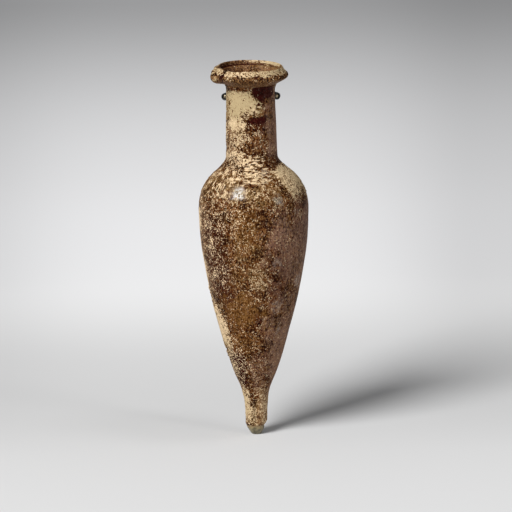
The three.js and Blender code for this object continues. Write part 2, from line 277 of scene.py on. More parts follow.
def ease(low, high, value):
    """0 at low and 1 at high, level beyond them and smooth between. low may be the greater one."""
    share = np.clip((value - low) / (high - low), 0, 1)
    return share * share * (3 - 2 * share)


def bell(offset, width):
    """1 where the offset is 0, dying away smoothly to both sides of it over a width."""
    return np.exp(-((offset / width) ** 2))


body_line = smooth_line(body_outline)
body_lengths = lengths_along(body_line)


def wall_radius(height):
    """The radius of the blown wall's outside."""
    return np.interp(height, body_line[:, 1], body_line[:, 0])


def belly_shift(height):
    """How far the belly sags to the right of the line from toe to mouth."""
    start, full, turn_back, end = sag_heights
    return belly_sag * ease(start, full, height) * (1 - ease(turn_back, end, height))


def toe_pinch(turn, height):
    """The crease pinched up the front of the toe, and the lobe to its right."""
    seat, full, fade, end = crease_heights
    strength = ease(seat, full, height) * (1 - ease(fade, end, height))
    crease = bell(turn * wall_radius(height), crease_width)
    return strength * (lobe_reach * np.clip(np.sin(turn), 0, 1) - crease_depth * crease)


def round_axis(turn, radius, height):
    """Points round the line from toe to mouth, at turns, radii and heights."""
    return np.stack([radius * np.sin(turn), -radius * np.cos(turn), height + 0 * turn], axis=-1)


def on_glass(turn, height, lift):
    """Points on the bottle's outside at turns and heights, lifted off it square to the wall."""
    rise = wall_radius(height + slope_step) - wall_radius(height - slope_step)
    slope = rise / (2 * slope_step)
    steep = np.hypot(1, slope)
    radius = wall_radius(height) + toe_pinch(turn, height) + lift / steep
    points = round_axis(turn, radius, height - lift * slope / steep)
    points[..., 0] += belly_shift(height)
    return points


def grain(points, size, seed=0, tall=1.0):
    """Smooth noise from about -1 to 1 with grains of a size in metres, tall times as high as wide."""
    spread_out = points / np.array([size, size, size * tall]) + seed * 17.3
    flat = spread_out.reshape(-1, 3)
    return np.array([noise.noise(p) for p in flat]).reshape(points.shape[:-1])


def mixed(points, noises):
    """Noises added up, each as (how much of it, size, seed, how many times as tall as wide)."""
    return sum(much * grain(points, size, seed, tall) for much, size, seed, tall in noises)


def painted(turn, height, wander, patches, base):
    """How thickly a finish lies: base, or a patch's strength inside its oval, made ragged by wander.
    A patch is (turn in degrees, height in mm, half its spread in degrees and in mm, strength)."""
    value = np.full(height.shape, float(base))
    for middle, level_mm, half_turn, half_height, strength in patches:
        aside = (turn - math.radians(middle) + math.pi) % (2 * math.pi) - math.pi
        across = aside / math.radians(half_turn)
        up = (height - level_mm * MM) / (half_height * MM)
        away = np.cbrt(np.abs(across) ** 3 + np.abs(up) ** 3) + patch_ragged_share * wander
        value += (strength - value) * (1 - ease(patch_full_share, patch_gone_share, away))
    return value


def unrolled(turn, length):
    """Places for streaks that run round the bottle or along it: the turn as a circle, and the length."""
    return round_axis(turn, unrolled_radius, length)


def give_finish(mesh, finish):
    """Stores each finish on the mesh, a value or a place for every corner."""
    for attribute, values in finish.items():
        flat = np.ascontiguousarray(values, dtype=np.float32).ravel()
        if flat.size == len(mesh.vertices):
            mesh.attributes.new(attribute, "FLOAT", "POINT").data.foreach_set("value", flat)
        else:
            mesh.attributes.new(attribute, "FLOAT_VECTOR", "POINT").data.foreach_set("vector", flat)


def ring_mesh(name, rings, finish, loop=False):
    """A mesh from rings of points, each joined to the next. The two end rings are capped, or joined
    to each other if loop is set."""
    rows, columns = rings.shape[:2]
    index = np.arange(rows * columns).reshape(rows, columns)
    if loop:
        index = np.vstack([index, index[:1]])
    low, high = index[:-1], index[1:]
    sides = np.stack([low, np.roll(low, -1, 1), np.roll(high, -1, 1), high], axis=-1).reshape(-1, 4)
    faces = sides.tolist()
    if not loop:
        faces += [index[0][::-1].tolist(), index[-1].tolist()]
    mesh = bpy.data.meshes.new(name)
    mesh.from_pydata(rings.reshape(-1, 3).tolist(), [], faces)
    give_finish(mesh, finish)
    return mesh


def add_piece(name, mesh, material, body, node_name):
    """Puts a mesh in the scene with its finish in its material slot, hangs it under its body, and hides
    the CAD node it stands for.
    """
    mesh.materials.append(material)
    mesh.polygons.foreach_set("use_smooth", [True] * len(mesh.polygons))
    piece = bpy.data.objects.new(name, mesh)
    bpy.context.scene.collection.objects.link(piece)
    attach(piece, body)
    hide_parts(node_name)


# Where each finish lies on the body, as its base and its patches. A later patch lies over those
# before it. Lime is in crisp grains, dust is a thin tan veil, violet is a dark film, amber is clear
# glass, haze is a grey bloom, the film is glossy and silvery and its pale colour, laid where the lamps
# shine on it, is also a painted highlight, ochre is the tone of the lime, and combed and turned say
# whether its grains run along the bottle or round it.
finish_patches = {
    "lime": (0.2, [
        (-70, 72, 40, 36, 0.31), (-44, 95, 34, 7.0, 0.4), (-44, 100, 30, 4.0, 0.47),
        (-7, 70, 23, 31.6, 0.25), (63, 61, 47, 39.7, 0.14), (-42, 137, 68, 7.3, 0.85),
        (-1, 135.6, 20, 3.6, 0.78), (-40, 129.5, 38, 4.4, 0.74), (-82, 129, 26, 12.7, 0.5),
        (-36, 121.5, 36, 5, 0.5), (-36, 115, 74, 2.9, 0.72), (-60, 107, 50, 7.4, 0.37),
        (-38, 112, 26, 3, 0.6), (3, 111, 30, 5.1, 0.57), (8, 102, 20, 2.8, 0.42),
        (74, 105, 38, 6.4, 0.55), (76, 107, 32, 4.6, 0.72), (24, 106, 13, 5.1, 0.35),
        (-95, 76, 19, 20.6, 0.92), (-82, 46, 38, 10.6, 0.85), (-39, 47, 8, 10, 0.0),
        (-23, 55, 32, 8.3, 0.1), (-17, 41, 29, 4.9, 0.18), (-67, 28, 43, 9.1, 0.44),
        (8, 27, 22, 8, 0.28), (-60, 12, 50, 8.2, 0.78), (62, 13, 54, 8.6, 0.62), (-20, 9, 30, 5, 0.75),
        (61, 39, 49, 19.2, 0.14), (69, 130, 41, 12.9, 0.06), (14, 128, 24, 3.4, 0.16),
        (14, 130.6, 24, 1.2, -0.5), (3, 121, 26, 5.6, 0.34), (10, 121, 16, 5.0, 0.1),
        (5, 68, 13, 5.6, 0.38), (-172, 104, 52, 8, 0.46), (162, 84, 34, 12, 0.08),
        # (0, 143.6, 180, ...) keeps the lime thin all round the neck top, a painted shade under the rim.
        (-158, 62, 26, 16, 0.34), (0, 143.6, 180, 1.6, 0.1), (32, 141.5, 28, 2.8, -0.2),
        (-20, 98, 50, 3.5, 0.3),
    ]),
    "dust": (0.3, [
        (-42, 137, 68, 7.3, 0.95), (-1, 135.6, 20, 3.6, 0.9), (-40, 127, 30, 3.2, 0.8),
        (-36, 120, 33, 3.4, 0.4), (-58, 106, 52, 6.0, 0.7), (74, 106, 36, 5.6, 0.95),
        (-95, 76, 21, 20.6, 0.95), (-50, 76, 22, 22, 0.15), (-44, 99, 30, 4, 0.5),
        (-9, 75, 17, 11.5, 0.6), (15, 101, 30, 5, 0.75), (5, 68, 13, 5.6, 0.75),
        (66, 78, 44, 20.0, 0.3), (-23, 55, 32, 8.3, 0.3), (-88, 46, 27, 10.2, 0.95),
        (-30, 32, 40, 12.4, 0.15), (-60, 12, 50, 8.2, 0.75), (56, 13, 60, 8.6, 1.0),
        (-12, 9, 30, 5, 0.9), (63, 39, 47, 19.2, 0.25), (13, 128, 23, 2.8, 0.05),
        # (0, 142.6, 180, ...) keeps the dust thin there too, the same painted shade under the rim.
        (0, 142.6, 180, 2.2, 0.2), (32, 142, 28, 3, -0.2),
    ]),
    "violet": (0.15, [
        (-165, 40, 34, 12, 0.5), (32, 142, 30, 2.9, 1.4), (21, 139.5, 12, 3.4, 1.4),
        (14, 128.6, 25, 3.0, 0.65), (14, 130.6, 24, 1.2, 1.3), (76, 126, 34, 10.9, 0.3),
        (74, 113, 36, 3.5, 0.6), (23, 98, 11, 2.7, 0.55), (-48, 74, 20, 22, 0.64),
        (30, 71, 15, 12.7, 0.5), (77, 88, 33, 14.1, 0.45), (-50, 28, 28, 8.7, 0.95),
        (12, 36, 13, 3.3, 0.5), (37, 25, 19, 1.9, 0.8), (5, 50, 6, 3.9, 0.6), (64, 33, 38, 13, 0.08),
    ]),
    "amber": (0.15, [
        (-170, 82, 26, 14, 0.6), (-46, 74, 24, 24, 0.4), (-28, 32, 26, 9, 0.4), (-23, 55, 32, 8.3, 0.9),
        (-24, 41, 35, 4.9, 0.7), (13, 52, 4, 3.9, 1), (-10, 88, 18, 12.5, 0.75),
        (-23, 69, 12, 6.4, 0.55), (9, 121, 15, 4.8, 0.4), (19, 105, 17, 4.8, 0.5),
    ]),
    "haze": (0.2, [
        (-46, 72, 22, 24, 0.25), (-28, 34, 30, 14, 0.2), (158, 74, 38, 28, 0.7),
        (70, 127, 40, 13.6, 0.9), (62, 78, 48, 20.0, 0.85), (61, 39, 49, 19.2, 0.8),
        (68, 34, 36, 13, 1.0), (10, 27, 24, 8, 0.6), (56, 13, 54, 8.6, 0.9),
    ]),
    # The main film patches sit where the lamps' highlights fall, and their pale colour is partly a painted
    # highlight.
    "film_and_highlight": (0.0, [
        (-20, 103, 15, 3.6, 0.45), (-18, 103, 7, 2.0, 1.1), (28, 100, 9, 2.6, 0.45),
        (28, 100, 5, 1.3, 0.9), (20, 110, 8, 1.8, 0.7), (-43, 104, 12, 3.0, 0.4), (50, 94, 5, 1.5, 0.6),
        (26, 75, 6, 2.4, 0.45), (62, 65, 8, 3.4, 0.6), (30, 56, 7, 2.8, 0.5), (40, 45, 5, 2.2, 0.5),
    ]),
    "ochre": (0.45, [
        (-42, 137.5, 75, 8.5, 1.45), (-40, 123, 60, 6, 0.6), (74, 106, 36, 5.6, 0.8),
        (-60, 12, 50, 8.2, 0.8), (57, 12, 55, 8.3, 0.6), (-12, 8, 30, 5, 0.9), (-82, 46, 36, 12, 1.0),
        (-7, 73, 17, 25, 0.75), (65, 59, 45, 38, 0.7), (-55, 74, 30, 34, 0.05),
    ]),
    "combed": (0.0, [(-60, 106, 52, 6.2, 0.8)]),
    "turned": (0.0, [(10, 112, 34, 6.7, 1), (24, 135, 26, 2.8, 0.9)]),
}


def body_finish(points, turn, height):
    """Every finish of the body at each point. The lime is thinner where there is film."""
    wander = mixed(points, ragged_edges)
    finish = {label: painted(turn, height, wander, patches, base)
              for label, (base, patches) in finish_patches.items()}
    finish["lime"] *= 1 - film_bares * finish["film_and_highlight"]
    finish["unrolled"] = unrolled(turn, np.interp(height, body_line[:, 1], body_lengths))
    return finish


turns = np.linspace(-math.pi, math.pi, body_columns, endpoint=False)
wall = evenly(body_line, body_rows)
turn, height = np.meshgrid(turns, wall[:, 1])
bare = on_glass(turn, height, 0 * height)
finish = body_finish(bare, turn, height)
wheel_lines = wheel_line_depth * np.sin(height / wheel_line_width * math.pi) * finish["turned"]
flakes = mixed(bare, skin_flakes) + lime_flaking * (finish["lime"] - 0.5)
relief = flake_height * ease(flake_starts, flake_full, flakes) - flake_sink
settled = ease(toe_seat, above_seat, height) * (1 - ease(below_rim, neck_top, height))
heel = heel_reach * np.clip(-np.sin(turn), 0, 1) * (1 - ease(toe_seat, heel_top, height))
outside = on_glass(turn, height, heel + (mixed(bare, dents) + wheel_lines + relief) * settled)

bore_height = np.linspace(neck_top, cavity_floor, bore_rows)
bore_radius = np.minimum(wall_radius(bore_height), wall_radius(np.minimum(bore_height, bore_waist)))
above_floor = np.clip((bore_height - cavity_floor) / floor_rounding, 0, 1)
bore_radius = (bore_radius - neck_wall) * np.sqrt(1 - floor_closing * (1 - above_floor) ** 2)
turn, height = np.meshgrid(turns, bore_height)
bore = round_axis(turn, bore_radius[:, None], height)
bore[..., 0] += belly_shift(height)
bore_finish = {"dust": 0.3, "violet": 0.6}
for label, values in finish.items():
    added = np.full(height.shape, bore_finish.get(label, 0.2))
    if label == "unrolled":
        added = unrolled(turn, height)
    finish[label] = np.concatenate([values, added])
body_mesh = ring_mesh("blown_body_glass", np.vstack([outside, bore]), finish)


# Weathered soda glass
# Iron-brown blown glass, gone opaque: IOR 1.5, satin where it is bare, glossy where a silvery film is
# left, and matt under lime. Decayed glass is dry and hardly mirrors, so all but the film has a low
# specular level. The eye gets dark gaps between dry pale grains. The film's pale colour is partly a
# painted highlight.
def stir(tree, cover, *noises):
    """Makes a cover ragged. Each noise comes with how much of it is added, about its middle of 0.5."""
    for by_noise, much in noises:
        level = add_node(tree, "ShaderNodeMath", {0: cover, 1: 0.5 * much}, operation="SUBTRACT").outputs[0]
        inputs = {0: by_noise, 1: much, 2: level}
        cover = add_node(tree, "ShaderNodeMath", inputs, operation="MULTIPLY_ADD").outputs[0]
    return cover


def weathering(material_name, deep, brown):
    """Brown glass under violet film, haze, dust and grains of lime, as each mesh's finishes say."""
    material, tree, output = new_material(material_name)
    place = add_node(tree, "ShaderNodeTexCoord").outputs["Object"]
    round_place = add_node(tree, "ShaderNodeAttribute", attribute_name="unrolled").outputs["Vector"]
    cover = {label: add_node(tree, "ShaderNodeAttribute", attribute_name=label).outputs["Fac"]
             for label in finish_patches}
    # Each noise has the place it is read at, the size of its grains in mm, how many times as long they
    # are along each axis, how many degrees they lean to the right, and its detail. The real grains of
    # lime are a few tenths of a millimetre wide. They are drawn 0.46 mm wide and 2.5 times as long, so
    # that they show, and they lie four ways.
    grain_leans = {"upright": 4, "right": 48, "across": 93, "left": -43}
    patterns = {
        "clouds": (place, 5.0, (1, 1, 1), 0, 4), "blotches": (place, 1.5, (1, 1, 1), 0, 3),
        "tones": (place, 0.6, (1, 1, 1.5), 0, 2), "sparks": (place, 0.52, (1, 1, 1.3), 20, 1),
        "curls": (place, 1.5, (1, 1, 1.3), -15, 2),
        "rings": (round_place, 0.62, (5, 5, 1), 0, 2), "combing": (round_place, 0.6, (1, 1, 4), 0, 2),
    }
    for label, lean in grain_leans.items():
        patterns[label] = (place, 0.46, (1, 1, 2.5), lean, 1)
    noises = {}
    for label, (vector, size, long, lean, detail) in patterns.items():
        stretched = add_node(tree, "ShaderNodeMapping", {
            "Vector": vector, "Rotation": (0, math.radians(lean), 0), "Scale": long,
        }, vector_type="TEXTURE").outputs[0]
        noises[label] = add_node(tree, "ShaderNodeTexNoise", {
            "Vector": stretched, "Scale": 1 / (size * MM), "Detail": detail, "Roughness": 0.62,
        }).outputs["Fac"]
    clouds, blotches, tones, curls = (noises[label] for label in ("clouds", "blotches", "tones", "curls"))
    # The highest of the four noises counts, brought back to a middle of about 0.5. Where the lime is
    # combed or turned, its grains lie one way instead.
    grains = noises["upright"]
    for way in ("right", "across", "left"):
        higher = add_node(tree, "ShaderNodeMath", {0: grains, 1: noises[way]}, operation="MAXIMUM")
        grains = higher.outputs[0]
    levelled = add_node(tree, "ShaderNodeMath", {0: grains, 1: 1.3, 2: -0.31}, operation="MULTIPLY_ADD")
    grains = levelled.outputs[0]
    for flow, streaks in (("combed", "combing"), ("turned", "rings")):
        grains = add_node(tree, "ShaderNodeMix", {0: cover[flow], 2: grains, 3: noises[streaks]}).outputs[0]

    # The glass itself, from deep brown to amber, under grey haze and violet film.
    colour = lay(tree, deep, brown, clouds, 0.36, 0.6)
    colour = lay(tree, colour, "#68431c", stir(tree, cover["amber"], (blotches, 1.0)), 0.3, 1.1, 0.9)
    haze = stir(tree, cover["haze"], (blotches, 1.8), (clouds, 1.2))
    colour = lay(tree, colour, "#896a5a", haze, 0.1, 1.3, 0.85)
    violet = stir(tree, cover["violet"], (blotches, 0.9), (clouds, 0.9))
    colour = lay(tree, colour, "#330c09", violet, 0.4, 0.8, 0.95)
    # Dark pits and lighter spots, a veil of dust, and the silvery film, whose pale grey colour is partly a
    # painted highlight.
    pits = stir(tree, tones, (cover["amber"], 0.06), (cover["haze"], 0.1))
    colour = lay(tree, "#170400", colour, pits, 0.3, 0.5)
    spots = stir(tree, tones, (cover["violet"], -0.15))
    colour = lay(tree, colour, "#9c7546", spots, 0.5, 0.85, 0.75)
    dust = stir(tree, cover["dust"], (blotches, 1.4), (grains, 1.8))
    colour = lay(tree, colour, "#85673e", dust, 0.4, 1.2, 0.85)
    film_and_highlight = stir(tree, cover["film_and_highlight"], (blotches, 2.0), (grains, 1.4))
    colour = lay(tree, colour, "#a39d8a", film_and_highlight, 0.2, 1.6, 0.6)
    # Loose pale flecks, thickest along curling lines, and fewer where there is haze or dust.
    off_curl = add_node(tree, "ShaderNodeMath", {0: curls, 1: 0.5}, operation="SUBTRACT").outputs[0]
    off_curl = add_node(tree, "ShaderNodeMath", {0: off_curl}, operation="ABSOLUTE").outputs[0]
    on_curl = add_node(tree, "ShaderNodeMath", {0: off_curl, 1: -7.0, 2: 1.0}, operation="MULTIPLY_ADD")
    flecks = stir(tree, noises["sparks"], (on_curl.outputs[0], 0.35), (clouds, 0.8), (cover["lime"], 0.25),
                  (cover["haze"], -0.12), (cover["dust"], -0.15))
    colour = lay(tree, colour, "#f2d9b0", flecks, 0.77, 0.84, 0.95)
    # Grains of lime over everything, from cream to ochre, each with a thin brown edge.
    lime = stir(tree, cover["lime"], (blotches, 1.1), (clouds, 0.8), (grains, 3.0))
    ochre = stir(tree, cover["ochre"], (clouds, 1.4), (tones, 2.2))
    crust = lay(tree, "#dcc19c", "#ae9a75", ochre, 0.0, 1.5)
    crust = lay(tree, "#80502a", crust, stir(tree, lime, (tones, 0.8)), 0.46, 0.66)
    colour = lay(tree, colour, crust, lime, 0.54, 0.6)

    raised = add_node(tree, "ShaderNodeMapRange", {"Value": lime, "From Min": 0.4, "From Max": 0.7})
    bump = add_node(tree, "ShaderNodeBump", {
        "Height": raised.outputs["Result"], "Distance": 0.08 * MM, "Strength": 0.5,
    })
    satin = add_node(tree, "ShaderNodeMapRange", {
        "Value": film_and_highlight, "From Min": 0.4, "From Max": 0.9, "To Min": 0.5, "To Max": 0.24,
    }).outputs["Result"]
    rough = add_node(tree, "ShaderNodeMapRange", {
        "Value": lime, "From Min": 0.4, "From Max": 0.6, "To Min": satin, "To Max": 0.85,
    })
    shine = add_node(tree, "ShaderNodeMapRange", {
        "Value": film_and_highlight, "From Min": 0.2, "From Max": 1.0, "To Min": 0.03, "To Max": 0.5,
    })
    shader = add_node(tree, "ShaderNodeBsdfPrincipled", {
        "Base Color": colour, "Roughness": rough.outputs["Result"], "IOR": 1.5,
        "Specular IOR Level": shine.outputs["Result"], "Normal": bump.outputs["Normal"],
    })
    tree.links.new(shader.outputs["BSDF"], output.inputs["Surface"])
    return material


soda_glass = weathering("weathered_soda_glass", "#2a0c02", "#582c0e")
add_piece("blown_body_glass", body_mesh, soda_glass, "bottle", "blown_body")

# Rolled rim
# The lip was folded out and down into a thick collar while hot. The fold's two ends meet on the left,
# in a lump of two round beads with a notch beside it. The upper part of its face is caked with lime
# that has flaked off in chips, and the brown funnel inside has a step where the folded lip ends.
rim_section = [
    (10.45, 143.85), (11.5, 144.45), (13.1, 145.35), (14.3, 146.15), (14.85, 146.75), (15.0, 147.3),
    (14.8, 147.99), (13.91, 148.96), (13.25, 149.85), (13.0, 150.45), (12.6, 150.75), (12.15, 150.5),
    (11.88, 149.9), (11.73, 149.15), (11.35, 148.85), (10.65, 148.8), (9.2, 147.2), (8.0, 145.7),
    (7.75, 145.2), (7.75, 143.85),
]
rim_columns, rim_rows = 420, 170
rim_tilt = -0.4 * MM
rim_foot, rim_neck, rim_edge, rim_rise = neck_top, 10.45 * MM, 15.0 * MM, 6.9 * MM
lip_back, lip_front, lip_low, lip_high = 12.0 * MM, 13.0 * MM, 148.6 * MM, 150.5 * MM
lump_turn, lump_reach, lump_droop, lump_width = math.radians(-75), 1.2 * MM, 1.5 * MM, 4.0 * MM
# Each bead of the lump as its middle and radius, with a crease pressed in round it.
beads = [(np.array([-14.1, -4.4, 148.9]) * MM, 1.5 * MM), (np.array([-13.9, -6.3, 147.0]) * MM, 1.5 * MM)]
bead_crease, crease_place_share, crease_width_share, crease_middle = 0.35 * MM, 1.15, 0.22, 0.35
notch_turn, notch_width, dip_turn, dip_width = (math.radians(angle) for angle in (-52, 4, -38, 22))
notch_depth, notch_bite, dip_depth = 1.2 * MM, 0.5 * MM, 0.6 * MM
chip_size, chip_depth, chip_rise, chip_band = 1.2 * MM, 0.12 * MM, 0.2 * MM, 0.5 * MM
chip_starts, chip_full = 0.12, 0.32
rim_dents = [(0.2 * MM, 6.0 * MM, 11, 1.0), (0.1 * MM, 2.0 * MM, 12, 1.0)]
lime_edge_waves = [(0.5 * MM, 2.2 * MM, 14, 1.0), (0.3 * MM, 0.9 * MM, 15, 1.0)]
lime_edge, groove_width, ledge_width = 0.25 * MM, 0.3 * MM, 0.25 * MM
# The middle of the rim's left front, and how far from it that is gone and full, all in radians.
left_front_turn, left_front_gone, left_front_full = -0.75, 0.75, 0.1

section = evenly(smooth_line(rim_section), rim_rows)
section_lengths = lengths_along(section)


def place_on_section(radius_mm, height_mm):
    """How far along the rim's section a point of it lies, in metres."""
    return section_lengths[np.argmin(np.hypot(*(section - np.array([radius_mm, height_mm]) * MM).T))]


edge_place, lip_place = place_on_section(15.0, 147.23), place_on_section(12.6, 150.75)
groove_place = place_on_section(11.73, 149.1) + 0.1 * MM
ledge_place, lime_foot = place_on_section(10.9, 148.8), place_on_section(14.3, 148.45)
under_ends = edge_place - 0.9 * MM, edge_place - 0.4 * MM
inside_starts = lip_place - 0.3 * MM, lip_place + 0.5 * MM
back_lip_ends = lip_place + 1.1 * MM, lip_place + 1.5 * MM

turns = np.linspace(-math.pi, math.pi, rim_columns, endpoint=False)
turn, height = np.meshgrid(turns, section[:, 1])
radius, along = section[:, :1] + 0 * turn, section_lengths[:, None] + 0 * turn
outer = ease(rim_neck, rim_edge, radius)
lift = ease(rim_foot, rim_foot + rim_rise, height)
near_lump = bell((turn - lump_turn) * rim_edge, lump_width)
tilt = rim_tilt * lift * radius * np.sin(turn) / rim_edge
rim_points = round_axis(turn, radius, height)
from_chips = np.abs(along - lime_foot - chip_rise) - chip_band
chips = grain(rim_points, chip_size, seed=13)
chipped = ease(chip_starts, chip_full, chips) * ease(chip_band, 0, from_chips)
notch = bell(turn - notch_turn, notch_width)
dip = dip_depth * bell(turn - dip_turn, dip_width) + notch_depth * notch
swell = (mixed(rim_points, rim_dents) - notch_bite * notch) * outer - chip_depth * chipped
lump_out = lump_reach * near_lump * ease(lip_back, lip_front, radius) * (0.8 + 0.7 * lift)
reach = radius + lump_out + swell
fallen = height + tilt - lump_droop * near_lump * outer * (1 - lift) + 0.5 * swell
fallen -= dip * ease(lip_low, lip_high, height)
rim_points = round_axis(turn, reach, fallen)
inwards = round_axis(turn, -1.0, 0.0)
near_beads = []
for bead_middle, bead_radius in beads:
    from_bead = rim_points - bead_middle
    distance = np.linalg.norm(from_bead, axis=-1, keepdims=True)
    on_bead = bead_middle + from_bead / distance * bead_radius
    crease = bell(distance - crease_place_share * bead_radius, crease_width_share * bead_radius)
    creased = rim_points + bead_crease * crease * inwards
    rim_points = np.where(distance < bead_radius, on_bead, creased)
    near_beads.append(1 - ease(0.9, crease_place_share, distance[..., 0] / bead_radius))

# The rim's zones: under it, its outer face with lime caked on the upper part and little below, and
# the inside of its funnel, where the back of the lip has lime too. The pale upper face is partly a
# painted light along the top of the round collar, and the darker lower face and the limeless
# underside are painted shade.
under = 1 - ease(*under_ends, along)
inside = ease(*inside_starts, along)
face = (1 - under) * (1 - inside)
to_right = ease(-0.2, 0.7, np.sin(turn))
left_front = ease(left_front_gone, left_front_full, np.abs(turn - left_front_turn))
at_back = ease(0.0, 0.5, -np.cos(turn)) * ease(-0.3, 0.2, np.sin(turn))
back_lip = (1 - ease(*back_lip_ends, along)) * inside * at_back
# The groove's dark line is painted shade in the fold, and the ledge's pale line is painted light on its
# step.
groove_shade_line = bell(along - groove_place, groove_width)
ledge_light_line = bell(along - ledge_place, ledge_width)
upper_bead, lower_bead = near_beads
creases = sum(ease(1.0, 0.6, np.abs(near_bead - crease_middle) / crease_middle) for near_bead in near_beads)
lime_place = along + mixed(rim_points, lime_edge_waves) - lime_foot
caked = ease(-lime_edge, lime_edge, lime_place) * (1 - inside)
caked = np.maximum(caked, 0.6 * upper_bead + 0.5 * lower_bead)
below = face - caked * face

rim_finish = {label: np.zeros(turn.shape) for label in finish_patches}
# Lime: caked on the upper face, partly painted light; thin below and nearly none under the rim, painted
# shade.
rim_finish["lime"] = (0.8 - 0.02 * to_right) * caked + (0.12 + 0.2 * left_front) * below + 0.02 * under
rim_finish["lime"] += 0.08 * inside + 0.75 * back_lip - 0.9 * chipped * face
# The notch and the creases round the beads are darkened as painted shade.
rim_finish["lime"] -= 0.5 * notch * (face + inside) + 0.12 * near_lump + 0.4 * creases
rim_finish["dust"] = 0.9 * caked + (0.35 + 0.35 * left_front) * below + 0.25 * under
# The funnel's inside is paler to the right, as painted light.
rim_finish["dust"] += (0.25 + 0.4 * to_right) * inside + 0.5 * ledge_light_line + 0.4 * back_lip
rim_finish["dust"] -= chipped * face + 0.5 * creases + 0.5 * notch
# The funnel's inside is darker to the left, as painted shade under the left lip.
rim_finish["violet"] = 0.9 * groove_shade_line + (0.2 + 0.4 * ease(0.5, 0.9, -np.sin(turn))) * inside
rim_finish["violet"] += 0.75 * chipped + 0.5 * creases + 0.6 * notch + 0.15 * below
rim_finish["amber"] = 0.45 * inside + 0.7 * ledge_light_line + 0.2 * under
rim_finish["haze"] = 0.35 * inside + 0.3 * lower_bead + 0.3 * under
rim_finish["ochre"] = 0.6 + 0.4 * to_right + 0.4 * lower_bead + 0.6 * near_lump
rim_finish["turned"] = 0.8 * inside
rim_finish["unrolled"] = unrolled(turn, along)
rim_mesh = ring_mesh("rolled_rim_glass", rim_points, rim_finish, loop=True)
rim_glass = weathering("lime_caked_rim_glass", "#40220f", "#6b482e")
add_piece("rolled_rim_glass", rim_mesh, rim_glass, "bottle", "rolled_rim")

# Toe knob
# A pad of greener glass, pressed hot on the point and flattened where the bottle touches the table.
# It has stayed cleaner than the rest, so it is smooth and olive grey.
knob_outline = [(1.6, 0.0), (2.28, 0.72), (2.86, 1.6), (3.36, 2.8), (3.6, 4.0)]
knob_columns, knob_rows = 120, 44
knob_dents = [(0.12 * MM, 2.4 * MM, 21, 1.0)]
dents_full, dents_fading = 1.0 * MM, 3.0 * MM
knob_lean, left_swell_start, right_shrink_start = 0.3 * MM, 2.0 * MM, 2.6 * MM

section = evenly(smooth_line(knob_outline), knob_rows)
turns = np.linspace(-math.pi, math.pi, knob_columns, endpoint=False)
turn, height = np.meshgrid(turns, section[:, 1])
radius = section[:, :1]
knob_points = round_axis(turn, radius, height)
settled = ease(0, dents_full, height) * (1 - ease(dents_fading, toe_seat, height))
left_swell = np.clip(-np.sin(turn), 0, 1) * ease(left_swell_start, toe_seat, height)
right_shrink = np.clip(np.sin(turn), 0, 1) * ease(right_shrink_start, toe_seat, height)
radius = radius + mixed(knob_points, knob_dents) * settled + knob_lean * (left_swell - right_shrink)
knob_points = round_axis(turn, radius, np.clip(height, 0, None))
knob_mesh = ring_mesh("toe_knob_glass", knob_points, {})

# Olive-grey pressed glass: IOR 1.5, half gloss, paler tan towards its top in thin clouds, and a brown
# seam on top.
pressed_glass, tree, output = new_material("olive_pressed_glass")
cloud_size, grit_size, cloud_relief = 1.4 * MM, 0.5 * MM, 0.08 * MM
paler_top_wander, paler_top_starts, paler_top_full = 3.0 * MM, 2.2 * MM, 3.4 * MM
seam_wander, seam_starts, seam_full = 0.8 * MM, 3.5 * MM, 3.9 * MM
place = add_node(tree, "ShaderNodeTexCoord").outputs["Object"]
up = add_node(tree, "ShaderNodeSeparateXYZ", {"Vector": place}).outputs["Z"]
clouds = add_node(tree, "ShaderNodeTexNoise", {"Vector": place, "Scale": 1 / cloud_size, "Detail": 4.0})
clouds = clouds.outputs["Fac"]
grit = add_node(tree, "ShaderNodeTexNoise", {"Vector": place, "Scale": 1 / grit_size, "Detail": 2.0})
grit = grit.outputs["Fac"]
colour = lay(tree, "#504832", "#7d7357", clouds, 0.35, 0.62)
paler_top = stir(tree, up, (clouds, paler_top_wander))
colour = lay(tree, colour, "#94805a", paler_top, paler_top_starts, paler_top_full, 0.7)
seam = stir(tree, up, (grit, seam_wander))
colour = lay(tree, colour, "#6b4a26", seam, seam_starts, seam_full, 0.9)
bump = add_node(tree, "ShaderNodeBump", {"Height": clouds, "Distance": cloud_relief, "Strength": 0.5})
shader = add_node(tree, "ShaderNodeBsdfPrincipled", {
    "Base Color": colour, "Roughness": 0.42, "IOR": 1.5, "Normal": bump.outputs["Normal"],
})
tree.links.new(shader.outputs["BSDF"], output.inputs["Surface"])
add_piece("toe_knob_glass", knob_mesh, pressed_glass, "bottle", "toe_knob")

# Burial crust
# Lime from the wet ground has grown on the glass in plates up to half a millimetre thick. They end
# in ragged steps where pieces have flaked away, and are pitted through in places. Calcite, matt and
# dry, so it takes the same grains of lime as the glass round it, on a paler ground.
plate_spacing, plate_seat, plate_skirt = 0.34 * MM, 0.2 * MM, 0.12 * MM
margin_wander, margin_wave, bump_size = 2.5 * MM, 4.0 * MM, 0.9 * MM
step_width, skirt_end, bump_share, more_lime, more_dust = 0.25, -0.6, 0.25, 0.15, 0.2
turned_flakes = [(0.9, 2.6 * MM, 6, 0.26)]


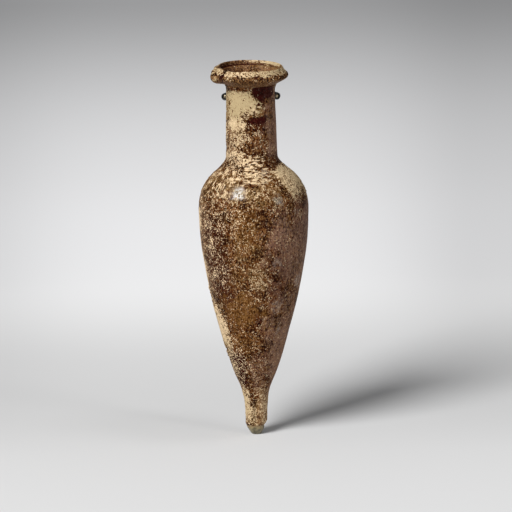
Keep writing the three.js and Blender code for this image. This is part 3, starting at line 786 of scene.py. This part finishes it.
def crust_mesh(name, turns_deg, heights_mm, gain, thick, tall, fading):
    """A plate of crust over a stretch of the glass, kept where the lime there breaks through. Its top
    stands off the glass by up to thick, and its underside lies just inside it. gain is how much the
    lime's cover brings it out, tall how long its flakes are, and fading how far in its margin thins."""
    middle_radius = wall_radius(sum(heights_mm) / 2 * MM)
    low, high = np.radians(turns_deg)
    columns = int((high - low) * middle_radius / plate_spacing)
    rows = int((heights_mm[1] - heights_mm[0]) * MM / plate_spacing)
    turn, height = np.meshgrid(np.linspace(low, high, columns), np.linspace(*heights_mm, rows) * MM)
    bare = on_glass(turn, height, 0 * height)
    finish = body_finish(bare, turn, height)
    flow = finish["unrolled"]
    flakes = mixed(flow, [(0.4, 1.5 * MM, 7, tall), (0.7, 0.62 * MM, 8, tall)])
    flakes += (mixed(flow, turned_flakes) - flakes) * finish["turned"]
    margin = np.minimum.reduce([
        (turn - low) * middle_radius, (high - turn) * middle_radius, height - heights_mm[0] * MM,
        heights_mm[1] * MM - height,
    ])
    margin -= margin_wander * np.abs(grain(flow, margin_wave, seed=10))
    break_through = flakes + gain * (finish["lime"] - 0.5) - 2 * (1 - ease(0, fading, margin))
    rise = np.clip(break_through / step_width, -1, 1)
    bumps = 1 + bump_share * grain(bare, bump_size, seed=9)
    top_lift = np.where(rise > 0, thick * np.sqrt(np.clip(rise, 0, 1)) * bumps, plate_skirt * rise)
    top = on_glass(turn, height, top_lift)
    bottom = on_glass(turn, height, np.full(height.shape, -plate_seat))
    finish["lime"] = np.clip(finish["lime"] + more_lime, 0, 1)
    finish["dust"] = np.clip(finish["dust"] + more_dust, 0, 1)
    # The top and the bottom have the same grid of cells. Each edge of a kept cell with no kept cell
    # beside it gets a wall between the two.
    kept = rise > skirt_end
    cells = kept[:-1, :-1] | kept[1:, :-1] | kept[:-1, 1:] | kept[1:, 1:]
    index = np.arange(kept.size).reshape(kept.shape)
    filled = np.pad(cells, 1)
    faces = []
    for row, column in np.argwhere(cells):
        a, b = index[row, column], index[row, column + 1]
        c, d = index[row + 1, column + 1], index[row + 1, column]
        e, f, g, h = (corner + index.size for corner in (a, b, c, d))
        faces += [(a, b, c, d), (h, g, f, e)]
        walls = {(-1, 0): (b, a, e, f), (0, 1): (c, b, f, g), (1, 0): (d, c, g, h), (0, -1): (a, d, h, e)}
        faces += [wall for (up, over), wall in walls.items() if not filled[row + 1 + up, column + 1 + over]]
    used = np.unique(np.array(faces))
    renumber = np.zeros(2 * index.size, int)
    renumber[used] = np.arange(len(used))
    points = np.vstack([top.reshape(-1, 3), bottom.reshape(-1, 3)])[used]
    mesh = bpy.data.meshes.new(name)
    mesh.from_pydata(points.tolist(), [], renumber[np.array(faces)].tolist())
    give_finish(mesh, {
        label: np.concatenate([values.reshape(kept.size, -1)] * 2)[used] for label, values in finish.items()
    })
    return mesh


burial_lime = weathering("burial_lime", "#3d2210", "#63452a")
# Each plate's turns in degrees, heights in mm, gain, thickness in mm, tallness, and fading in mm.
crusts = {
    "neck_crust": ((-116, 36), (117.0, 142.6), 1.3, 0.22, 1.0, 1.5),
    "left_shoulder_crust": ((-116, 30), (93.0, 114.5), 1.0, 0.2, 2.2, 6.0),
    "right_shoulder_crust": ((32, 108), (96.5, 113.5), 1.3, 0.24, 1.0, 1.5),
    "side_crust": ((-128, -44), (30.5, 63), 1.4, 0.42, 1.4, 1.0),
    "toe_crust": ((-114, 4), (6.2, 24.2), 1.2, 0.24, 1.3, 3.0),
}
for node_name, (turn_limits, height_limits, gain, thick, tall, fading) in crusts.items():
    mesh = crust_mesh(node_name + "_plate", turn_limits, height_limits, gain, thick * MM, tall, fading * MM)
    add_piece(node_name + "_plate", mesh, burial_lime, "bottle", node_name)

# Wire fork
# A brass wire bent round the back of the neck, with black tubing on its two ends so that metal never
# touches glass, and a brass stem brazed to its middle. It draws off backwards.
fork_low, fork_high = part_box("fork_stem")
fork_height = (fork_low.z + fork_high.z) / 2
wire_radius, sleeve_radius, sleeve_bore, stem_radius = 0.8 * MM, 1.45 * MM, 0.95 * MM, 1.2 * MM
neck_gap, wire_recess, wire_bevel, sleeve_bevel = 0.3 * MM, 0.2 * MM, 0.15 * MM, 0.12 * MM
arc_radius = float(wall_radius(fork_height)) + neck_gap + sleeve_radius
fork_wrap, sleeve_length, braze_reach = math.radians(67), 9.0 * MM, 0.25 * MM
# The braze's fillet round the stem's root, as (distance from its start, radius) in mm.
braze_fillet = [(0.0, 1.9), (0.25, 1.75), (0.6, 1.5), (1.1, 1.3), (1.8, 1.2)]
sleeve_sides, wire_sides, stem_sides = 48, 32, 48
sleeve_steps, wire_steps, stem_steps, fillet_steps = 20, 90, 12, 3


def along_arc(name, profile, sides, loop):
    """A round piece bent along the arc. profile lists (turn from the back, radius)."""
    turns, radii = np.array(profile).T
    middle = np.stack([arc_radius * np.sin(turns), arc_radius * np.cos(turns), fork_height + 0 * turns], -1)
    outward = np.stack([np.sin(turns), np.cos(turns), 0 * turns], -1)
    around = np.linspace(0, 2 * math.pi, sides, endpoint=False)[None, :, None]
    ring = outward[:, None] * np.cos(around) + np.array([0.0, 0.0, 1.0]) * np.sin(around)
    return ring_mesh(name, middle[:, None] + ring * radii[:, None, None], {}, loop)


def sleeve_profile(side):
    """Out along the tube's outside to its cut end, in at the end, and back along its bore."""
    inner, bevel = fork_wrap - sleeve_length / arc_radius, sleeve_bevel / arc_radius
    first, last = inner + bevel, fork_wrap - bevel
    outside = [(turn, sleeve_radius) for turn in np.linspace(first, last, sleeve_steps + 1)]
    end = [(fork_wrap, sleeve_radius - sleeve_bevel), (fork_wrap, sleeve_bore + sleeve_bevel / 2)]
    bore = [(turn, sleeve_bore) for turn in np.linspace(last, first, sleeve_steps + 1)]
    start = [(inner, sleeve_bore + sleeve_bevel / 2), (inner, sleeve_radius - sleeve_bevel)]
    return [(side * turn, radius) for turn, radius in outside + end + bore + start]


# Soft polyolefin tubing: satin black, IOR 1.5, with faint rubbed spots.
tubing, tree, output = new_material("black_polyolefin_tubing")
rub_size, rub_relief = 0.6 * MM, 0.03 * MM
place = add_node(tree, "ShaderNodeTexCoord").outputs["Object"]
rubbed = add_node(tree, "ShaderNodeTexNoise", {"Vector": place, "Scale": 1 / rub_size, "Detail": 3.0})
rubbed = rubbed.outputs["Fac"]
colour = lay(tree, "#0a0a0b", "#1d1c1c", rubbed, 0.4, 0.7)
rough = add_node(tree, "ShaderNodeMapRange", {
    "Value": rubbed, "From Min": 0.3, "From Max": 0.7, "To Min": 0.38, "To Max": 0.55,
})
bump = add_node(tree, "ShaderNodeBump", {"Height": rubbed, "Distance": rub_relief, "Strength": 0.4})
shader = add_node(tree, "ShaderNodeBsdfPrincipled", {
    "Base Color": colour, "Roughness": rough.outputs["Result"], "IOR": 1.5,
    "Normal": bump.outputs["Normal"],
})
tree.links.new(shader.outputs["BSDF"], output.inputs["Surface"])

for side_name, side in (("left", -1), ("right", 1)):
    name = "fork_tubing_" + side_name
    mesh = along_arc(name, sleeve_profile(side), sleeve_sides, loop=True)
    if side < 0:
        # The left profile runs the other way round, so its faces are turned out again.
        mesh.flip_normals()
    add_piece(name, mesh, tubing, "neck_fork", "fork_sleeve_" + side_name)

# Drawn brass wire, tarnished: metallic, with fine lines along the stem and dull grey stains.
brass, tree, output = new_material("tarnished_drawn_brass")
stain_size, line_width, line_depth = 2.5 * MM, 0.3 * MM, 0.02 * MM
place = add_node(tree, "ShaderNodeTexCoord").outputs["Object"]
stain = add_node(tree, "ShaderNodeTexNoise", {"Vector": place, "Scale": 1 / stain_size, "Detail": 4.0})
stain = stain.outputs["Fac"]
colour = lay(tree, "#b5a68a", "#787060", stain, 0.35, 0.65)
rough = add_node(tree, "ShaderNodeMapRange", {
    "Value": stain, "From Min": 0.3, "From Max": 0.7, "To Min": 0.3, "To Max": 0.5,
})
stretched = add_node(tree, "ShaderNodeMapping", {"Vector": place, "Scale": (4.0, 0.4, 4.0)}).outputs[0]
lines = add_node(tree, "ShaderNodeTexNoise", {"Vector": stretched, "Scale": 1 / line_width})
lines = lines.outputs["Fac"]
bump = add_node(tree, "ShaderNodeBump", {"Height": lines, "Distance": line_depth, "Strength": 0.5})
shader = add_node(tree, "ShaderNodeBsdfPrincipled", {
    "Base Color": colour, "Roughness": rough.outputs["Result"], "Metallic": 1.0,
    "Normal": bump.outputs["Normal"],
})
tree.links.new(shader.outputs["BSDF"], output.inputs["Surface"])

wire_end = fork_wrap - wire_recess / arc_radius
wire_turns = np.linspace(-wire_end, wire_end, wire_steps)
wire_profile = [(-wire_end, wire_radius - wire_bevel)]
wire_profile += [(turn, wire_radius) for turn in wire_turns[1:-1]]
wire_profile += [(wire_end, wire_radius - wire_bevel)]
wire_mesh = along_arc("fork_brass_wire", wire_profile, wire_sides, loop=False)
add_piece("fork_brass_wire", wire_mesh, brass, "neck_fork", "fork_wire")

stem_start, stem_end = fork_low.y - braze_reach, fork_high.y
stem_profile = [(stem_start + far * MM, wide * MM) for far, wide in braze_fillet]
stem_depths = np.linspace(stem_start, stem_end - wire_bevel, stem_steps + 1)
stem_profile += [(depth, stem_radius) for depth in stem_depths[fillet_steps:]]
stem_profile += [(stem_end, stem_radius - wire_bevel)]
around = np.linspace(0, 2 * math.pi, stem_sides, endpoint=False)
stem_rings = np.array([
    [(radius * math.cos(angle), depth, fork_height + radius * math.sin(angle)) for angle in around]
    for depth, radius in stem_profile
])
stem_mesh = ring_mesh("fork_brass_stem", stem_rings, {})
add_piece("fork_brass_stem", stem_mesh, brass, "neck_fork", "fork_stem")

# Last step
# The view layer is brought up to date.
bpy.context.view_layer.update()
